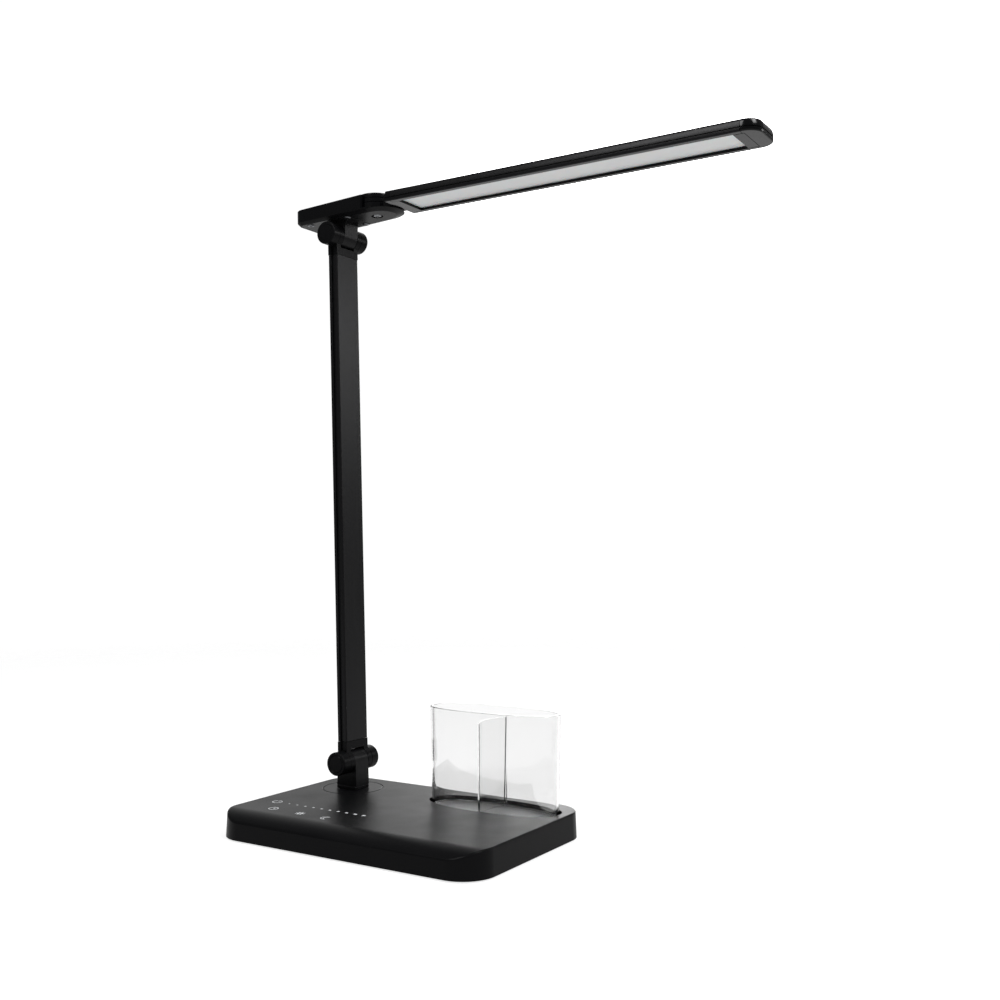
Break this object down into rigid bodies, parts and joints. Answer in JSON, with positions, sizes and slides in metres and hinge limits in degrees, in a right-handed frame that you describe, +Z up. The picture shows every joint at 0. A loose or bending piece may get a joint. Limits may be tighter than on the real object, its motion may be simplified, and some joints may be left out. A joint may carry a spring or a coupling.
{
  "type": "desk lamp",
  "caption": "Folding LED reading lamp with a swivelling foot, two tilting hinges, a slim light bar and a clear divided pen cup let into its base.",
  "frame": {"origin": "on the floor under the middle of the base, where the feet stand", "axes": "+Z up, +X along the light bar from the post to its tip, +Y from the touch symbols towards the back"},
  "size_m": [0.3448, 0.133, 0.4289],
  "materials": {
    "satin_black_abs": "satin moulded",
    "gloss_black_abs": "polished moulded",
    "black_painted_zinc": "satin black paint on a zinc casting",
    "black_anodised_aluminium": "black anodised, fine satin",
    "opal_acrylic": "milky, unlit",
    "clear_styrene": "clear moulded plastic",
    "black_rubber": "soft feet",
    "zinc_plated_steel": "zinc plated",
    "black_zinc_steel": "black zinc plated",
    "spring_steel": "hardened, oiled",
    "mild_steel_plate": "plain rolled plate",
    "black_nylon": "smooth",
    "green_circuit_board": "solder mask",
    "white_circuit_board": "white solder mask"
  },
  "bodies": {
    "base": {"base_cover": "satin_black_abs", "base_bottom": "satin_black_abs", "foot_1": "black_rubber", "foot_2": "black_rubber", "foot_3": "black_rubber", "foot_4": "black_rubber", "base_screw_1": "zinc_plated_steel", "base_screw_2": "zinc_plated_steel", "base_screw_3": "zinc_plated_steel", "base_screw_4": "zinc_plated_steel", "ballast_plate": "mild_steel_plate", "touch_board": "green_circuit_board", "driver_board": "green_circuit_board", "dc_inlet": "satin_black_abs", "dc_inlet_pin": "zinc_plated_steel"},
    "swivel": {"swivel_disc": "satin_black_abs", "lower_bracket": "black_painted_zinc", "swivel_spring_washer": "spring_steel", "swivel_retaining_ring": "spring_steel"},
    "arm": {"arm_profile": "black_anodised_aluminium", "lower_fork": "satin_black_abs", "upper_fork": "satin_black_abs", "lower_hinge_pin": "zinc_plated_steel", "lower_friction_washer_front": "black_nylon", "lower_friction_washer_rear": "black_nylon", "lower_disc_springs": "spring_steel", "lower_hinge_nut": "zinc_plated_steel", "lower_hinge_cap_front": "satin_black_abs", "lower_hinge_cap_rear": "satin_black_abs", "upper_hinge_pin": "zinc_plated_steel", "upper_friction_washer_front": "black_nylon", "upper_friction_washer_rear": "black_nylon", "upper_disc_springs": "spring_steel", "upper_hinge_nut": "zinc_plated_steel", "upper_hinge_cap_front": "satin_black_abs", "upper_hinge_cap_rear": "satin_black_abs"},
    "neck": {"neck_housing": "satin_black_abs", "upper_knuckle": "black_painted_zinc", "neck_screw_1": "black_zinc_steel", "neck_screw_2": "black_zinc_steel", "neck_screw_3": "black_zinc_steel", "neck_screw_4": "black_zinc_steel"},
    "head": {"head_hub": "gloss_black_abs", "pivot_screw": "zinc_plated_steel", "pivot_friction_washer": "black_nylon", "pivot_disc_spring": "spring_steel", "pivot_nut": "zinc_plated_steel", "light_bar_profile": "black_anodised_aluminium", "tip_cap": "gloss_black_abs", "diffuser": "opal_acrylic", "led_board": "white_circuit_board"},
    "cup": {"pen_cup": "clear_styrene"}
  },
  "joints": [
    {"name": "base_swivel", "type": "hinge", "parent": "base", "child": "swivel", "pos_m": [-0.0676, 0.0343, 0.0175], "axis": [0, 0, 1], "range_deg": [-90, 90]},
    {"name": "arm_tilt", "type": "hinge", "parent": "swivel", "child": "arm", "pos_m": [-0.0676, 0.0343, 0.0364], "axis": [0, 1, 0], "range_deg": [-30, 50]},
    {"name": "head_tilt", "type": "hinge", "parent": "arm", "child": "neck", "pos_m": [-0.07854, 0.0343, 0.40504], "axis": [0, 1, 0], "range_deg": [-60, 85]},
    {"name": "head_swivel", "type": "hinge", "parent": "neck", "child": "head", "pos_m": [-0.04735, 0.0343, 0.4182], "axis": [0, 0, 1], "range_deg": [-60, 60]},
    {"name": "cup_lift", "type": "slide", "parent": "base", "child": "cup", "axis": [0, 0, 1], "range_m": [0, 0.09]}
  ]
}
